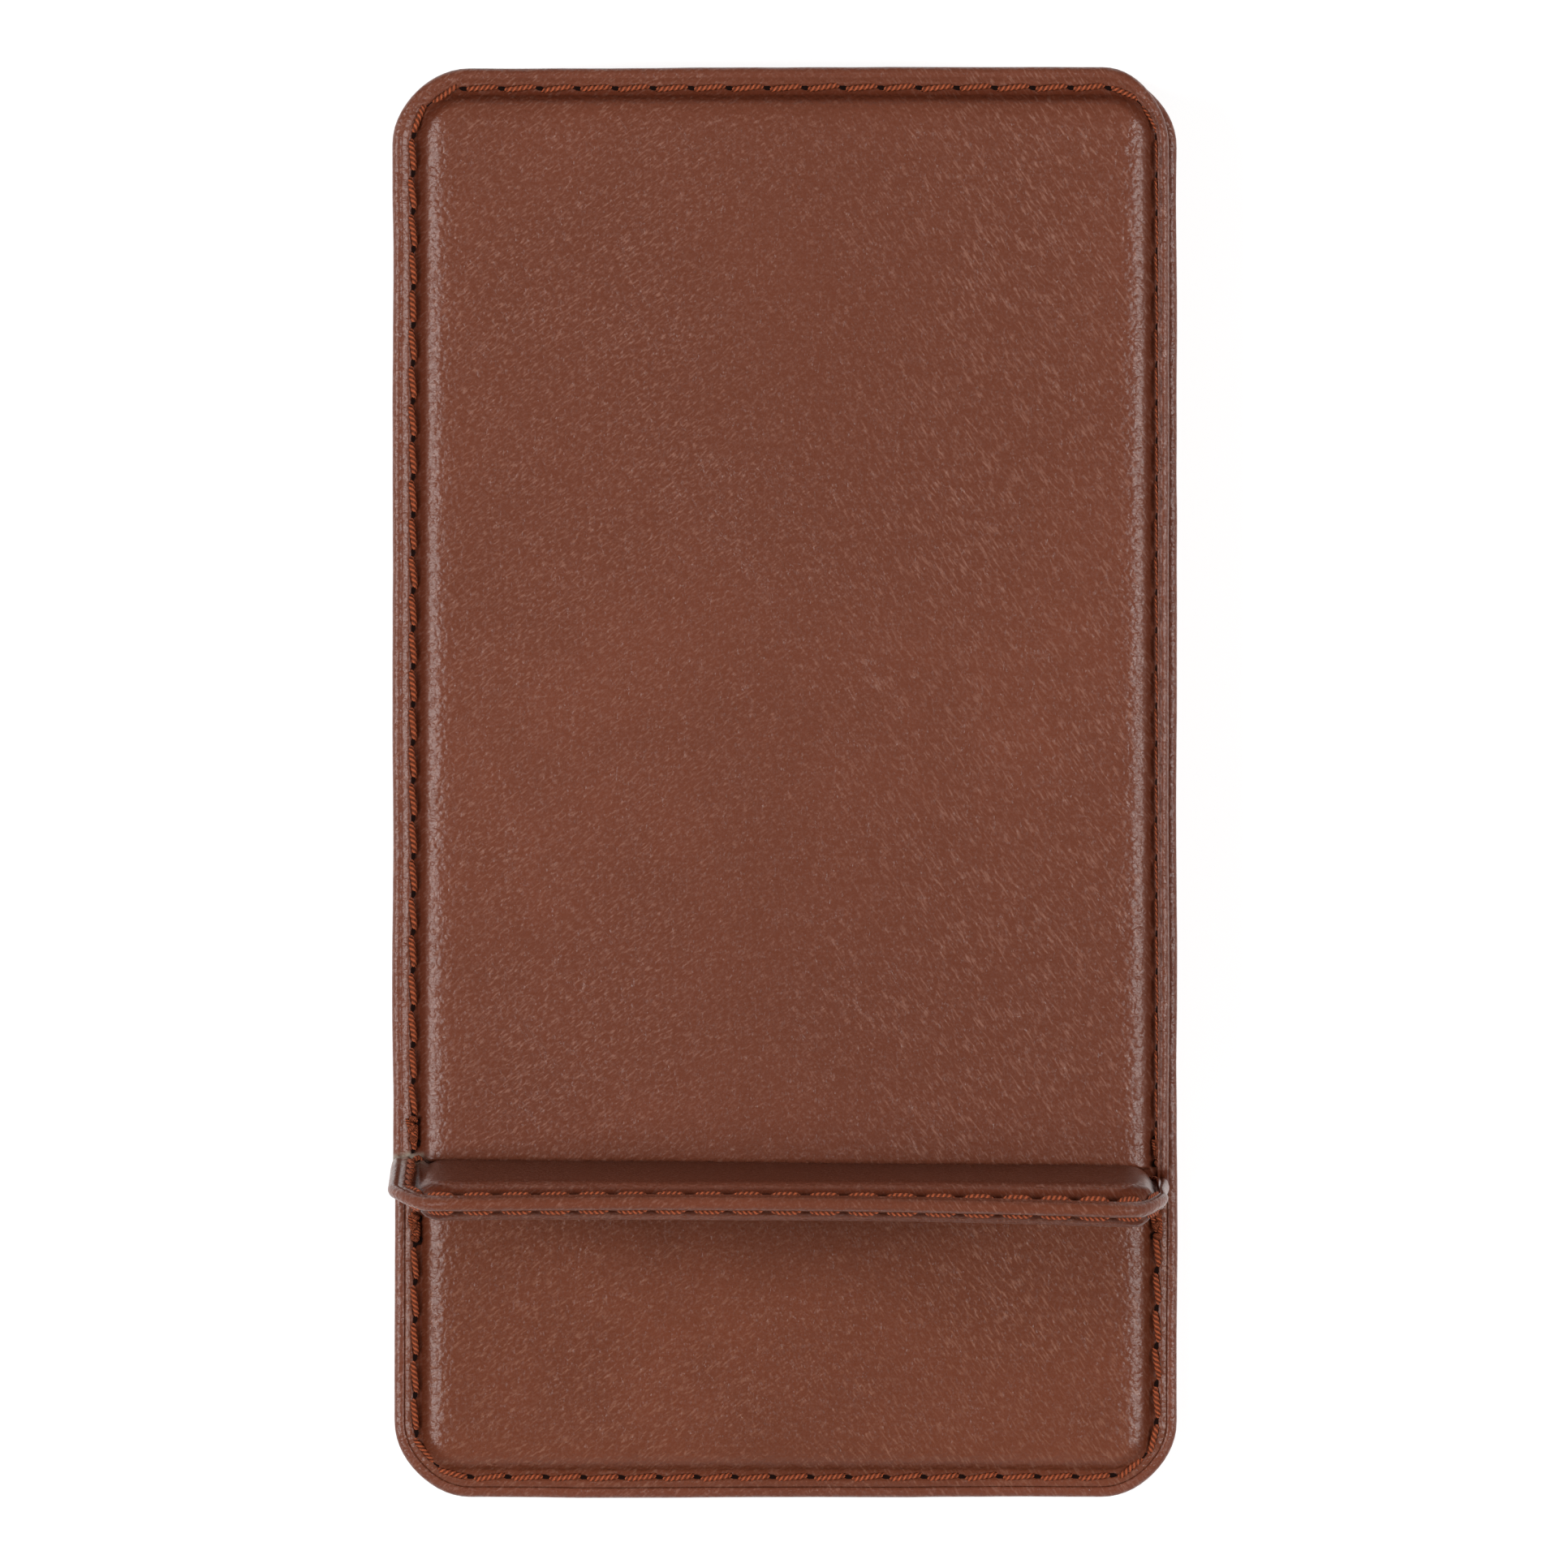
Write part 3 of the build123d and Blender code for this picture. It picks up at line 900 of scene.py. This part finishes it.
sheet = cover_sheet(BACK, TURNED_EDGE, -1)
back_skin = finish_piece("back_cover_leather", sheet, outer_leather, LEATHER_WALL)
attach(back_skin, "case")
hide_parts("back_leather")
sheet = cover_sheet(BACK, CUT_EDGE, 1)
back_inside = finish_piece("back_cover_lining", sheet, lining_leather, LEATHER_WALL)
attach(back_inside, "case")
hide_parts("back_lining")


def on_bisector(distance):
    """A point across the fold, at a distance from the hinge line towards the flap."""
    step = distance / math.sqrt(2)
    return (HINGE_SLANT * step * MM, (HINGE_Y + HINGE_SHIFT - step) * MM, (FRONT_MIDDLE + step) * MM)


BEND_FROM, BEND_TO = on_bisector(BEND_START), on_bisector(BEND_END)

sheet = cover_sheet(FRONT, TURNED_EDGE, 1)
front_skin = finish_piece("front_cover_leather", sheet, outer_leather, LEATHER_WALL)
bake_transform(front_skin, "case", "flap", start=BEND_FROM, end=BEND_TO)
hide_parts("front_leather", "flap_leather")
sheet = cover_sheet(FRONT, CUT_EDGE, -1)
front_inside = finish_piece("front_cover_lining", sheet, lining_leather, LEATHER_WALL)
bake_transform(front_inside, "case", "flap", start=BEND_FROM, end=BEND_TO)
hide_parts("front_lining", "flap_lining")

gusset_piece = finish_piece("pocket_gusset", gusset_sheet(), gusset_leather, GUSSET_WALL)
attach(gusset_piece, "case")
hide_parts("gusset")


def inset_box(box, inset):
    left, right, low, high = box
    return left + inset, right - inset, low + inset, high - inset


seam_points = seam_line(inset_box(CASE_BOX, SEAM_INSET), "all")
spots, holes = walk(seam_points, True)
outer_threads, outer_pits = sew(BACK, spots, holes, -1, SURFACE, 1.0)
open_spots = [s for s in spots if s[0].y < GUSSET_MOUTH - STITCH / 2]
open_holes = [s for s in holes if s[0].y < GUSSET_MOUTH]
tie_off(open_spots, open_holes, (CASE_LEFT + SEAM_INSET, -35.2), (CASE_RIGHT - SEAM_INSET, -35.0))
inner_threads, inner_pits = sew(BACK, open_spots, open_holes, 1, SURFACE, 2.0)
back_thread = finish_piece("back_cover_thread", join(outer_threads, inner_threads), sewing_thread)
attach(back_thread, "case")
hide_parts("back_seam")
back_pits = finish_piece("back_needle_holes", join(outer_pits, inner_pits), hole_shade)
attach(back_pits, "case")

left, right, low, high = inset_box(CASE_BOX, SEAM_INSET)
front_points = seam_line((left, right, HINGE_Y + 1.7, high), "high")
spots, holes = walk(front_points, False)
tie_off(spots, holes, (CASE_LEFT + SEAM_INSET, HINGE_Y + 3.5), (CASE_RIGHT - SEAM_INSET, HINGE_Y + 2.4))
front_threads, front_pits = sew(FRONT, spots, holes, 1, SURFACE, 3.0)
front_thread = finish_piece("front_cover_thread", front_threads, sewing_thread)
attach(front_thread, "case")
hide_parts("front_seam")
front_hole_piece = finish_piece("front_needle_holes", front_pits, hole_shade)
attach(front_hole_piece, "case")

flap_points = seam_line((left, right, low, HINGE_Y - 1.2), "low")
spots, holes = walk(flap_points, False)
flap_threads, flap_pits = sew(FRONT, spots, holes, 1, SURFACE, 4.0)
flap_under, flap_under_pits = sew(FRONT, spots, holes, -1, SURFACE + UNDER_LIFT, 5.0)
flap_thread = finish_piece("flap_thread", join(flap_threads, flap_under), sewing_thread)
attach(flap_thread, "flap")
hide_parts("flap_seam")
flap_hole_piece = finish_piece("flap_needle_holes", join(flap_pits, flap_under_pits), hole_shade)
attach(flap_hole_piece, "flap")

HIDDEN = {
    "back_padding": foam,
    "front_padding": foam,
    "flap_padding": foam,
    "back_board": board,
    "front_board": board,
    "flap_board": board,
    "back_magnets": steel,
    "flap_magnets": steel,
}
for node_name, material in HIDDEN.items():
    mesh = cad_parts[node_name].data
    mesh.materials.clear()
    mesh.materials.append(material)

# ---------------------------------------------------------------- studio
floor_mesh = bpy.data.meshes.new("floor")
floor_bm = bmesh.new()
bmesh.ops.create_grid(floor_bm, x_segments=2, y_segments=2, size=3.0)
floor_bm.to_mesh(floor_mesh)
floor_bm.free()
floor = bpy.data.objects.new("floor", floor_mesh)
bpy.context.scene.collection.objects.link(floor)
floor_material, _, floor_surface = shader("white_floor")
floor_surface.inputs["Base Color"].default_value = (0.40, 0.40, 0.40, 1)
floor_surface.inputs["Roughness"].default_value = 0.9
floor_surface.inputs["Emission Color"].default_value = (1, 1, 1, 1)
floor_surface.inputs["Emission Strength"].default_value = 0.72
floor_mesh.materials.append(floor_material)


def softbox(name, place, size, power):
    lamp = bpy.data.lights.new(name, "AREA")
    lamp.shape = "RECTANGLE"
    lamp.size, lamp.size_y = size
    lamp.energy = power
    holder = bpy.data.objects.new(name, lamp)
    holder.location = place
    holder.rotation_euler = (-Vector(place)).to_track_quat("-Z", "Y").to_euler()
    bpy.context.scene.collection.objects.link(holder)


softbox("left_softbox", (-0.73, 0.0, 0.68), (0.42, 0.65), 9.9)
softbox("right_softbox", (0.73, 0.0, 0.68), (0.26, 0.65), 7.8)
softbox("near_softbox", (0.0, -1.8, 0.9), (3.0, 1.6), 8.5)

world = bpy.data.worlds.new("studio")
bpy.context.scene.world = world
world.use_nodes = True
world.node_tree.nodes["Background"].inputs["Color"].default_value = (1, 1, 1, 1)
world.node_tree.nodes["Background"].inputs["Strength"].default_value = 0.10

camera_data = bpy.data.cameras.new("camera")
camera_data.lens = 434.0
camera_data.sensor_width = 36.0
camera_data.clip_start, camera_data.clip_end = 0.1, 10.0
camera = bpy.data.objects.new("camera", camera_data)
camera.location = (-0.000145, 0.00003, 1.5)
bpy.context.scene.collection.objects.link(camera)
bpy.context.scene.camera = camera
bpy.context.scene.view_settings.view_transform = "Standard"
